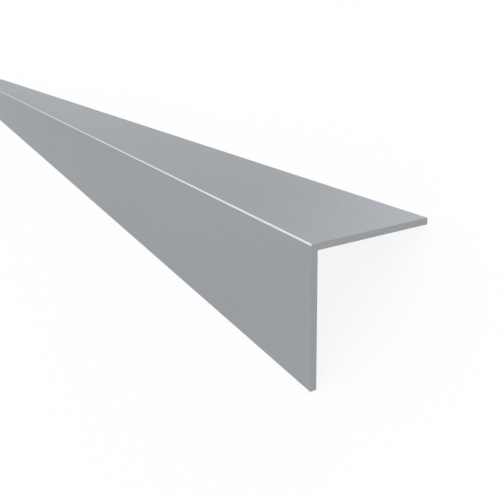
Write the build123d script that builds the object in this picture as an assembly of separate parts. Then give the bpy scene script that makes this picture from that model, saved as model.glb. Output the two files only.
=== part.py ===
"""A bar of extruded metal angle: two flat legs at a right angle, one piece of stock, cut square at both ends.

The bar lies along X and stands as it rests unheld on a level floor: heel up, with one toe on the floor at
each side. The origin is on the floor, under the heel, halfway along the bar. All lengths are in millimetres.
"""

import os
from math import atan2, cos, sin

from build123d import *

# Driving dimensions
BAR_LENGTH = 1000.0  # square cut to square cut
RIGHT_LEG = 40.0  # outside width of the leg that slopes down towards +Y, heel to toe
LEFT_LEG = 40.0  # outside width of the leg that slopes down towards -Y, heel to toe
WALL = 2.0  # thickness of both legs
HEEL_RADIUS = 0.5  # round on the outside corner, where the two legs meet
ROOT_RADIUS = 0.3  # fillet in the inside corner
TOE_RADIUS = 0.2  # round on both edges of each toe


def section():
    """The section in its own plane: sharp heel at (0, 0), right leg along +X, left leg along +Y."""
    right_leg = Rectangle(RIGHT_LEG, WALL, align=Align.MIN)
    left_leg = Rectangle(WALL, LEFT_LEG, align=Align.MIN)
    profile = right_leg + left_leg
    corners = profile.vertices()
    heel = corners.sort_by_distance((0, 0))[0]
    root = corners.sort_by_distance((WALL, WALL))[0]
    toes = [v for v in corners if v.X > RIGHT_LEG - TOE_RADIUS or v.Y > LEFT_LEG - TOE_RADIUS]
    profile = fillet(toes, TOE_RADIUS)
    profile = fillet(profile.vertices().sort_by_distance(root)[0], ROOT_RADIUS)
    return fillet(profile.vertices().sort_by_distance(heel)[0], HEEL_RADIUS)


def resting_plane():
    """The section's plane on the standing bar: each toe's inside edge touches the floor."""
    slope = atan2(LEFT_LEG - WALL, RIGHT_LEG - WALL)  # of the right leg, below the horizontal
    toe_reach = (RIGHT_LEG - TOE_RADIUS) * sin(slope) + (WALL - TOE_RADIUS) * cos(slope)
    heel_height = toe_reach + TOE_RADIUS
    return Plane(
        origin=(0, 0, heel_height),
        x_dir=(0, cos(slope), -sin(slope)),
        z_dir=(-1, 0, 0),
    )


def angle_section():
    """The whole bar, extruded both ways from its middle."""
    return extrude(resting_plane() * section(), amount=BAR_LENGTH / 2, both=True)


bar = angle_section()
bar.label = "angle_section"
os.makedirs("parts", exist_ok=True)
export_step(bar, "parts/angle_section.step")
print("angle_section:", bar.bounding_box().min, bar.bounding_box().max, round(bar.volume), "mm3")
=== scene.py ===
# %% [markdown]
# # A bar of satin anodised aluminium angle
# The object is one metre of equal angle, 40 x 40 x 2 mm. It was pressed through a die in one piece,
# anodised, and sawn to length. It rests heel up on a studio floor, on its two toes, like a low tent.
# The imported solid fixes the size and the place of everything. What is added here is what the eye needs:
# finely rounded edges, a true finish for each surface, a painted highlight along the heel, and a light in
# which a grey metal looks grey.

# %% Load the imported bar
from itertools import pairwise
from math import cos, pi, radians, sin, sqrt

import bmesh
import bpy
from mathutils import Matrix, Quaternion, Vector


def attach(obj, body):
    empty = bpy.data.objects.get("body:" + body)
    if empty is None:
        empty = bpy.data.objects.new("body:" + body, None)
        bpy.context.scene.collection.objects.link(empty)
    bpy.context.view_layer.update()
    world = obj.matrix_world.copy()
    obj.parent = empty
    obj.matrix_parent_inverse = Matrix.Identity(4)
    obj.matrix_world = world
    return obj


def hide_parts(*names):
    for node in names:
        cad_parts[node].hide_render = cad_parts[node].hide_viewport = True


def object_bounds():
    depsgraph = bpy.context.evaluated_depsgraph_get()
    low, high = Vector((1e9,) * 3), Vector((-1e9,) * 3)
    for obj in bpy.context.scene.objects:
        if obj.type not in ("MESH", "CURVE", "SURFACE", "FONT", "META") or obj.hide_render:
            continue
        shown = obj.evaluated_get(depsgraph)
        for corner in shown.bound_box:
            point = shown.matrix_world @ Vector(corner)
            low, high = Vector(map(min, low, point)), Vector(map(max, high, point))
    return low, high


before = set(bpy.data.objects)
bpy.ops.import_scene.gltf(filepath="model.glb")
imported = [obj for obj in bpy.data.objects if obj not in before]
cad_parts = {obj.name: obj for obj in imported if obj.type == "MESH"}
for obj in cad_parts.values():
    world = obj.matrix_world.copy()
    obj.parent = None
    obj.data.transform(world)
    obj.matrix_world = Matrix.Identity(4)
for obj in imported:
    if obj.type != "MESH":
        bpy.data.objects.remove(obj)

MM = 0.001
cad_low, cad_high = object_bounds()
print("packed:", *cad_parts, "from", tuple(cad_low), "to", tuple(cad_high))

# %% [markdown]
# ## Camera
# The camera stands 10 cm past the near cut end and 9 cm above the heel, so near that the bar shrinks
# to a fraction of its width before it leaves the view. An aim point with a Track To constraint would
# do for a level camera. This one is rolled by half a right angle, which makes one leg look level and
# the other upright although both slope on the floor, so its three angles are given instead. The lens
# is shifted downwards, as on a view camera, because the near end hangs low in the view.

# %% Place the camera
CAMERA_PAST_END = 102.33 * MM
CAMERA_LEFT_OF_HEEL = 20.92 * MM
CAMERA_HEIGHT = 116.2 * MM
CAMERA_TILT = radians(28.96)  # below the horizon
CAMERA_HEADING = radians(13.89)  # off the bar's own direction, to the right
CAMERA_ROLL = radians(-45.18)
FOCAL_LENGTH = 39.51  # mm, before a sensor 36 mm wide
LENS_SHIFT = -0.183  # of the frame's height

camera_data = bpy.data.cameras.new("camera")
camera_data.lens = FOCAL_LENGTH
camera_data.shift_y = LENS_SHIFT
camera_data.clip_start = 1 * MM
camera = bpy.data.objects.new("camera", camera_data)
bpy.context.scene.collection.objects.link(camera)
bpy.context.scene.camera = camera

level = cos(CAMERA_TILT)
ahead = Vector((-level * cos(CAMERA_HEADING), level * sin(CAMERA_HEADING), -sin(CAMERA_TILT)))
camera.location = (cad_high.x + CAMERA_PAST_END, -CAMERA_LEFT_OF_HEEL, CAMERA_HEIGHT)
camera.rotation_mode = "QUATERNION"
camera.rotation_quaternion = ahead.to_track_quat("-Z", "Y") @ Quaternion((0, 0, 1), CAMERA_ROLL)
print("camera at", tuple(camera.location), "looking along", tuple(ahead))

# %% [markdown]
# ## Section
# An extrusion is a section and a length. The section has no sharp corner: the die rounds the heel, the
# root and the toes, and each round catches a line of light of its own width. A Bevel modifier on a
# sharp L could round them, but one width would then serve every edge. Here each corner has its own
# radius, and the outline can also be drawn a little inside itself, which the cut ends need.

# %% Sizes of the section
LEG = 40 * MM
WALL = 2 * MM
HEEL_RADIUS = 0.5 * MM
ROOT_RADIUS = 0.3 * MM
TOE_RADIUS = 0.2 * MM
ARC_STEPS = 10

# how high the two outer faces would meet, if no round took the corner off
meeting_height = (LEG + WALL - 2 * TOE_RADIUS) / sqrt(2) + TOE_RADIUS
print("outer faces meet at", round(meeting_height / MM, 4), "mm")

# %% Draw the section's outline
def as_it_rests(right, left, height=0.0):
    """Turns distances along the right and the left leg into (y, z) of the bar, which rests heel up."""
    return Vector(((right - left) / sqrt(2), height - (right + left) / sqrt(2)))

def section_outline(inset=0.0):
    """Points and outward normals round the section, as (y, z), all drawn inwards by inset."""
    outer, inner, end = inset, WALL - inset, LEG - inset
    heel, root, toe = HEEL_RADIUS - inset, ROOT_RADIUS + inset, TOE_RADIUS - inset
    corners = [  # along the right leg, along the left leg, radius, and -1 for the one hollow corner
        (inner, inner, root, -1), (inner, end, toe, 1), (outer, end, toe, 1),
        (outer, outer, heel, 1), (end, outer, toe, 1), (end, inner, toe, 1),
    ]
    outline = []
    for i, (right, left, radius, outwards) in enumerate(corners):
        corner = Vector((right, left))
        back = (Vector(corners[i - 1][:2]) - corner).normalized()
        onward = (Vector(corners[(i + 1) % len(corners)][:2]) - corner).normalized()
        centre = corner + radius * (back + onward)
        for step in range(ARC_STEPS + 1):
            angle = pi / 2 * step / ARC_STEPS
            spoke = -(onward * cos(angle) + back * sin(angle))
            point = as_it_rests(*(centre + radius * spoke), meeting_height)
            outline.append((point, as_it_rests(*(outwards * spoke))))
    return outline

outline = section_outline()
heel_top = max(point.y for point, normal in outline)
print(len(outline), "points, from", min(point.y for point, normal in outline), "to", heel_top)

# %% [markdown]
# ## Bar
# A filled curve with an extrude depth is Blender's shortest way from a section to a bar, and its bevel
# would even round the cut ends. A mesh that is built ring by ring takes a few lines more, and in return
# every vertex knows its place along and round the bar. That gives exact normals and a tidy map.
# The saw leaves a crisp edge, which is broken with one light stroke of a file. So the last rings draw
# in by a few hundredths of a millimetre, round a quarter circle.

# %% List the rings from cut to cut
ARRIS = 0.06 * MM  # the round that the file leaves on a sawn edge
ARRIS_STEPS = 3
LENGTHS_IN_MAP = 3  # the map holds the bar as three lengths side by side, so that it is nearly square

bar_end = cad_high.x

# a ring is its x, how far it draws in, and how far its normals lean towards the near end
quarter = [pi / 2 * step / ARRIS_STEPS for step in range(ARRIS_STEPS + 1)]
near_rings = [(bar_end - ARRIS + ARRIS * sin(a), ARRIS * (1 - cos(a)), a) for a in quarter]
far_rings = [(-x, inset, -lean) for x, inset, lean in reversed(near_rings)]
middle_rings = [(bar_end * (2 * i / LENGTHS_IN_MAP - 1), 0.0, 0.0) for i in range(1, LENGTHS_IN_MAP)]
rings = far_rings + middle_rings + near_rings
print("rings at", [round(x / MM, 2) for x, inset, lean in rings], "mm")

# %% Lay out the map
LEAST_STEP = 0.4 * MM  # in the map, so that the small rounds still get some pixels
MAP_GAP = 4 * MM
END_ENLARGED = 4  # the cut ends are small and seen from near, so they get more of the map
NEAR_COLUMN, FAR_COLUMN = 0.75, 0.25  # where the cut ends lie side by side, as shares of the map's side

loop = [point for point, normal in outline] + [outline[0][0]]
round_the_section = [0.0]
for point, following in pairwise(loop):
    round_the_section.append(round_the_section[-1] + max((following - point).length, LEAST_STEP))
strip_width = round_the_section[-1] + MAP_GAP
strip_height = 2 * bar_end / LENGTHS_IN_MAP + MAP_GAP
map_side = LENGTHS_IN_MAP * strip_width + MAP_GAP

def place_on_strip(strip, along, i):
    """The place in the map, from 0 to 1, of the outline's point i at a distance along a length."""
    across = MAP_GAP + strip * strip_width + round_the_section[i]
    return across / map_side, (MAP_GAP + along) / map_side

def place_on_end(vertex):
    """The place in the map of a vertex on either cut end."""
    column = NEAR_COLUMN if vertex.co.x > 0 else FAR_COLUMN
    across = column * map_side + END_ENLARGED * vertex.co.y
    up = strip_height + 2 * MAP_GAP + END_ENLARGED * vertex.co.z
    return across / map_side, up / map_side

print("the map stands for", round(map_side / MM), "mm, a strip for", round(strip_width / MM), "mm")

# %% Join the rings into one closed mesh
PRESSED, SAWN = 0, 1  # material slots

bar_mesh = bmesh.new()
bake_map = bar_mesh.loops.layers.uv.new("OFBake")

def add_face(corners, finish, places):
    face = bar_mesh.faces.new(corners)
    face.material_index = finish
    for corner, place in zip(face.loops, places):
        corner[bake_map].uv = place

normals = []
ring_vertices = []
for x, inset, lean in rings:
    ring = []
    for point, normal in section_outline(inset):
        ring.append(bar_mesh.verts.new((x, *point)))
        normals.append((sin(lean), *(normal * cos(lean))))
    ring_vertices.append(ring)

count = len(outline)
for number, (ring, following) in enumerate(pairwise(ring_vertices)):
    strip = number - ARRIS_STEPS
    for i in range(count):
        corners = (ring[i], following[i], following[(i + 1) % count], ring[(i + 1) % count])
        if 0 <= strip < LENGTHS_IN_MAP:
            run = following[i].co.x - ring[i].co.x
            places = [place_on_strip(strip, *at) for at in ((0, i), (run, i), (run, i + 1), (0, i + 1))]
            add_face(corners, PRESSED, places)
        else:
            add_face(corners, SAWN, [place_on_end(vertex) for vertex in corners])
for cut in (ring_vertices[0], ring_vertices[-1][::-1]):
    add_face(cut, SAWN, [place_on_end(vertex) for vertex in cut])
print(len(bar_mesh.faces), "faces,", round(bar_mesh.calc_volume(signed=True) / MM**3), "mm3 of metal")

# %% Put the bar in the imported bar's place
mesh = bpy.data.meshes.new("angle_bar")
bar_mesh.to_mesh(mesh)
bar_mesh.free()
mesh.shade_smooth()
mesh.normals_split_custom_set_from_vertices(normals)
bar = bpy.data.objects.new("angle_bar", mesh)
bpy.context.scene.collection.objects.link(bar)
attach(bar, "root")
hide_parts("angle_section")
print(bar.name, "is", [round(side / MM, 2) for side in bar.dimensions], "mm")

# %% [markdown]
# ## Colours and nodes
# Colours are written as sRGB hex codes, the way a colour chart or a paint program gives them, but
# shaders reckon in linear light. One function turns the one into the other. A material is a tree of
# nodes, and a second function adds a node together with its settings and links.

# %% Helpers for colours and nodes
def srgb(code):
    """The linear colour that a shader takes, from an sRGB hex code."""
    parts = [int(code[i : i + 2], 16) / 255 for i in (1, 3, 5)]
    return (*(c / 12.92 if c <= 0.04045 else ((c + 0.055) / 1.055) ** 2.4 for c in parts), 1.0)

def empty_tree(owner):
    """The node tree of a material or a world, with nothing in it yet."""
    owner.use_nodes = True
    owner.node_tree.nodes.clear()
    return owner.node_tree

def add_node(tree, kind, inputs=None, output=0, **settings):
    """Adds a node, gives its inputs numbers or other nodes' outputs, and returns one of its outputs."""
    node = tree.nodes.new("ShaderNode" + kind)
    for name, value in settings.items():
        setattr(node, name, value)
    for name, value in (inputs or {}).items():
        if isinstance(value, bpy.types.NodeSocket):
            tree.links.new(value, node.inputs[name])
        else:
            node.inputs[name].default_value = value
    return node.outputs[output] if node.outputs else None

print("mid grey, #808080, is", round(srgb("#808080")[0], 3), "in linear light")

# %% [markdown]
# ## Satin anodised aluminium
# The pressed faces were etched matt in lye and then anodised, which grows a clear skin of oxide. To the
# eye that is a soft, cool grey metal: it holds no picture of the room, only broad light and dark. Three
# patterns keep it from looking like paint. The die draws faint lines along the bar, the etch leaves a
# fine grain, and the bath clouds the tone a little over a hand's breadth. They could be painted on the
# map. Noise in the object's own space has no seam between the faces, needs no picture, and takes its
# sizes straight from the metal.

# %% Start the satin finish
satin = bpy.data.materials.new("satin_anodised_aluminium")
satin_tree = empty_tree(satin)
on_bar = add_node(satin_tree, "TexCoord", output="Object")  # metres from the bar's middle, on the floor
NOISE_RANGE = {"From Min": 0.25, "From Max": 0.75}  # nearly all of a noise lies between these

def soft_pattern(tree, place, sizes, finer_sets):
    """Noise from 0 to 1, with 0.5 for plain metal. Its broadest marks have these sizes along x, y, z."""
    spread = add_node(tree, "Mapping", {"Vector": place, "Scale": [1 / size for size in sizes]})
    noise = add_node(tree, "TexNoise", {"Vector": spread, "Scale": 1.0, "Detail": finer_sets}, "Fac")
    return add_node(tree, "MapRange", {"Value": noise, **NOISE_RANGE})

print("nodes:", [node.name for node in satin_tree.nodes])

# %% Die lines, etch grain and clouds
DIE_LINE_RUN = 400 * MM
DIE_LINE_WIDTH = 1.5 * MM  # of the broadest: three finer sets follow, each half as wide as the last
ETCH_GRAIN = 0.3 * MM  # the real grain is 0.1 mm, too fine to show, so it is three times as coarse here
CLOUD = 70 * MM

die_lines = soft_pattern(satin_tree, on_bar, (DIE_LINE_RUN, DIE_LINE_WIDTH, DIE_LINE_WIDTH), 3.0)
grain = soft_pattern(satin_tree, on_bar, (ETCH_GRAIN, ETCH_GRAIN, ETCH_GRAIN), 1.0)
clouds = soft_pattern(satin_tree, on_bar, (CLOUD, CLOUD, CLOUD), 1.0)

tone = 0.0
for pattern, weight in ((die_lines, 0.4), (grain, 0.2), (clouds, 0.4)):
    tone = add_node(satin_tree, "Math", {0: pattern, 1: weight, 2: tone}, operation="MULTIPLY_ADD")
print("die lines", DIE_LINE_WIDTH / 2**3 / MM, "to", DIE_LINE_WIDTH / MM, "mm wide")

# %% [markdown]
# ### The rubbed heel, and a painted highlight on it
# The heel is the edge that every rack, bench and glove rubs. Its round is rubbed smoother than the faces,
# which a lower roughness gives. Its much lighter colour is a painted highlight: a fine bright line along
# the whole bar. A weight on the vertices could mark it. Reckoning the band from the heights and widths of
# the metal keeps it as sharp as it is on the bar, because the round is less than a millimetre wide. It
# sits a little to the left, on the side of the round where the highlight falls in this light, and its
# edges fade.

# %% Mark the rubbed band, which also carries the painted highlight
# the band lies off the heel's middle, to the left, where the painted highlight sits
BAND_LEFT, BAND_RIGHT = -0.36 * MM, 0.14 * MM  # across the heel, from its middle
BAND_FADE = 0.1 * MM
BAND_DEPTH = 0.25 * MM  # below the heel's top

sideways = add_node(satin_tree, "SeparateXYZ", {0: on_bar}, "Y")
height = add_node(satin_tree, "SeparateXYZ", {0: on_bar}, "Z")
rubbed_highlight_band = 1.0
for measure, none_at, full_at in (
    (sideways, BAND_LEFT - BAND_FADE / 2, BAND_LEFT + BAND_FADE / 2),
    (sideways, BAND_RIGHT + BAND_FADE / 2, BAND_RIGHT - BAND_FADE / 2),
    (height, heel_top - BAND_DEPTH - BAND_FADE, heel_top - BAND_DEPTH),
):
    within = add_node(
        satin_tree, "MapRange", {"Value": measure, "From Min": none_at, "From Max": full_at}
    )
    rubbed_highlight_band = add_node(satin_tree, "Math", {0: within, 1: rubbed_highlight_band}, operation="MULTIPLY")
print("rubbed band", round((BAND_RIGHT - BAND_LEFT) / MM, 2), "mm wide")

# %% [markdown]
# ### The satin shader
# One Principled shader with Metallic at 1 does for a metal: its colour is then the colour of what it
# reflects. Roughness 0.45 is a typical satin etch. A bare metal would turn white at a flat angle. The
# oxide skin holds that back, so the colour at a flat angle, which Blender calls Specular Tint, is grey.

# %% Mix colour, roughness and relief
SATIN_DARK, SATIN_LIGHT = "#9ea2a6", "#a6aaae"
# the heel's colour is a painted highlight, far lighter than the metal's own colour
PAINTED_HIGHLIGHT_ON_HEEL = "#e5e8ec"
SATIN_ROUGHNESS = (0.42, 0.48)
RUBBED_ROUGHNESS = 0.25
FLAT_ANGLE_TINT = "#dadada"
DIE_LINE_DEPTH = 0.004 * MM
GRAIN_IN_RELIEF = 0.3  # the rest of the relief is die lines

# a Mix node has its factor in socket 0, and its two numbers in 2 and 3 or its two colours in 6 and 7
metal = add_node(
    satin_tree, "Mix", {0: tone, 6: srgb(SATIN_DARK), 7: srgb(SATIN_LIGHT)}, 2, data_type="RGBA"
)
# paints the highlight colour over the heel band; the lower roughness below is the real rubbed finish
metal = add_node(satin_tree, "Mix", {0: rubbed_highlight_band, 6: metal, 7: srgb(PAINTED_HIGHLIGHT_ON_HEEL)}, 2, data_type="RGBA")
matt = add_node(satin_tree, "Mix", {0: tone, 2: SATIN_ROUGHNESS[0], 3: SATIN_ROUGHNESS[1]})
matt = add_node(satin_tree, "Mix", {0: rubbed_highlight_band, 2: matt, 3: RUBBED_ROUGHNESS})
relief = add_node(satin_tree, "Mix", {0: GRAIN_IN_RELIEF, 2: die_lines, 3: grain})
relief = add_node(satin_tree, "Bump", {"Strength": 1.0, "Distance": DIE_LINE_DEPTH, "Height": relief})
surface = add_node(satin_tree, "BsdfPrincipled", {
    "Base Color": metal,
    "Metallic": 1.0,
    "Roughness": matt,
    "Specular Tint": srgb(FLAT_ANGLE_TINT),
    "Normal": relief,
})
add_node(satin_tree, "OutputMaterial", {"Surface": surface})
mesh.materials.append(satin)
print(satin.name, "has", len(satin_tree.nodes), "nodes")

# %% [markdown]
# ## Sawn ends
# The bar is cut after it is anodised, so its ends are bare metal, a shade darker to the eye, with the
# fine arcs that a round saw blade leaves. A Wave texture would give arcs as even as a comb. A saw's are
# uneven, because its teeth are, so the distance from the blade's centre is fed to a noise in one
# dimension, which gives every arc a strength of its own.

# %% Saw marks
SAW_RADIUS = 150 * MM
SAW_FEED = 0.5 * MM  # between marks: a real feed is half that, too fine to show

sawn = bpy.data.materials.new("sawn_aluminium")
sawn_tree = empty_tree(sawn)
on_bar = add_node(sawn_tree, "TexCoord", output="Object")
blade_centre = SAW_RADIUS * Vector((0.0, -0.6, -0.8))  # below the floor and to the left
from_blade = add_node(sawn_tree, "Mapping", {
    "Vector": on_bar,
    "Location": -blade_centre,
    "Scale": (0.0, 1.0, 1.0),
})
from_blade = add_node(sawn_tree, "VectorMath", {0: from_blade}, "Value", operation="LENGTH")
marks = add_node(sawn_tree, "TexNoise", {
    "W": from_blade,
    "Scale": 1 / SAW_FEED,
    "Detail": 1.0,
}, "Fac", noise_dimensions="1D")
marks = add_node(sawn_tree, "MapRange", {"Value": marks, **NOISE_RANGE})
print("saw marks", SAW_FEED / MM, "mm apart, round a centre", SAW_RADIUS / MM, "mm away")

# %% The sawn shader
SAWN_DARK, SAWN_LIGHT = "#a0a3a6", "#a4a7aa"
SAWN_ROUGHNESS = (0.5, 0.44)
SAW_MARK_DEPTH = 0.002 * MM

metal = add_node(
    sawn_tree, "Mix", {0: marks, 6: srgb(SAWN_DARK), 7: srgb(SAWN_LIGHT)}, 2, data_type="RGBA"
)
matt = add_node(sawn_tree, "Mix", {0: marks, 2: SAWN_ROUGHNESS[0], 3: SAWN_ROUGHNESS[1]})
relief = add_node(sawn_tree, "Bump", {"Strength": 1.0, "Distance": SAW_MARK_DEPTH, "Height": marks})
surface = add_node(sawn_tree, "BsdfPrincipled", {
    "Base Color": metal,
    "Metallic": 1.0,
    "Roughness": matt,
    "Normal": relief,
})
add_node(sawn_tree, "OutputMaterial", {"Surface": surface})
mesh.materials.append(sawn)
print(sawn.name, "has", len(sawn_tree.nodes), "nodes")

# %% [markdown]
# ## Floor
# The bar rests on a plain white studio floor, which runs so far back that its edge meets the sky. White
# paint alone would look grey wherever a little less light falls on it, and more light would burn out
# what stands there. So the floor glows for the eye, and for what metal reflects, and only the rest of
# it is paint. The paint's share is enough to keep the bar's soft shadow.

# %% Lay the floor
FLOOR_SIDE = 60.0
FLOOR_GLOW = 0.88  # the share of what the eye sees
FLOOR_PAINT = "#fbfbfb"

edge = FLOOR_SIDE / 2
floor_mesh = bpy.data.meshes.new("floor")
floor_corners = [(-edge, -edge, 0), (edge, -edge, 0), (edge, edge, 0), (-edge, edge, 0)]
floor_mesh.from_pydata(floor_corners, [], [(0, 1, 2, 3)])
floor = bpy.data.objects.new("floor", floor_mesh)
bpy.context.scene.collection.objects.link(floor)

floor_finish = bpy.data.materials.new("white_studio_paint")
floor_tree = empty_tree(floor_finish)
seen = 0.0
for ray in ("Is Camera Ray", "Is Glossy Ray", "Is Transmission Ray"):
    is_ray = add_node(floor_tree, "LightPath", output=ray)
    seen = add_node(floor_tree, "Math", {0: is_ray, 1: seen}, operation="MAXIMUM")
share = add_node(floor_tree, "Math", {0: seen, 1: FLOOR_GLOW}, operation="MULTIPLY")
paint = add_node(floor_tree, "BsdfDiffuse", {"Color": srgb(FLOOR_PAINT)})
glow = add_node(floor_tree, "Emission", {"Strength": 1.0})
surface = add_node(floor_tree, "MixShader", {0: share, 1: paint, 2: glow})
add_node(floor_tree, "OutputMaterial", {"Surface": surface})
floor_mesh.materials.append(floor_finish)
print("floor of", FLOOR_SIDE, "m, of which", FLOOR_GLOW, "glows")

# %% [markdown]
# ## Light
# A metal shows what is round it, so it is lit by large bright things and not by points. A plain white
# sky of strength 1 all round gives every surface its own colour. Alone it would make both legs alike,
# so softboxes shade them: a strong one low on the right brightens the right leg towards its toe, and
# three dim ones behind the far end lift that end a little. Each stands for a cloth box of 0.7 m.

# %% Light the studio
sky = bpy.data.worlds.new("white_sky")
sky_tree = empty_tree(sky)
background = add_node(sky_tree, "Background", {"Color": srgb("#ffffff"), "Strength": 1.0})
add_node(sky_tree, "OutputWorld", {"Surface": background})
bpy.context.scene.world = sky

LIT_SPOT = Vector((0.3, 0.0, 0.02))  # in the bar's near half
SOFTBOX_SIDE = 0.7
SOFTBOX_DISTANCE = 2.2

def stand_softbox(name, turn, rise, brightness):
    """A softbox, turn degrees round from the near end and rise degrees up. Brightness 1 is the sky's."""
    lamp = bpy.data.lights.new(name, "AREA")
    lamp.size = SOFTBOX_SIDE
    lamp.energy = brightness * pi * SOFTBOX_SIDE**2
    turn, rise = radians(turn), radians(rise)
    level = cos(rise)
    towards = Vector((level * cos(turn), level * sin(turn), sin(rise)))
    softbox = bpy.data.objects.new(name, lamp)
    softbox.location = LIT_SPOT + SOFTBOX_DISTANCE * towards
    softbox.rotation_mode = "QUATERNION"
    softbox.rotation_quaternion = (-towards).to_track_quat("-Z", "Y")
    bpy.context.scene.collection.objects.link(softbox)
    print(name, "at", [round(c, 2) for c in softbox.location], "with", round(lamp.energy, 2), "W")

stand_softbox("right_softbox", 106, 9, 6.1)
stand_softbox("back_right_softbox", 150, 13, 0.45)
stand_softbox("back_softbox", 181, 13, 0.3)
stand_softbox("back_left_softbox", 210, 13, 0.28)

# %% [markdown]
# ## Finish
# The Standard view shows a colour as it was written, where a film-like view would grey the white floor.

# %% Set the view
bpy.context.scene.view_settings.view_transform = "Standard"
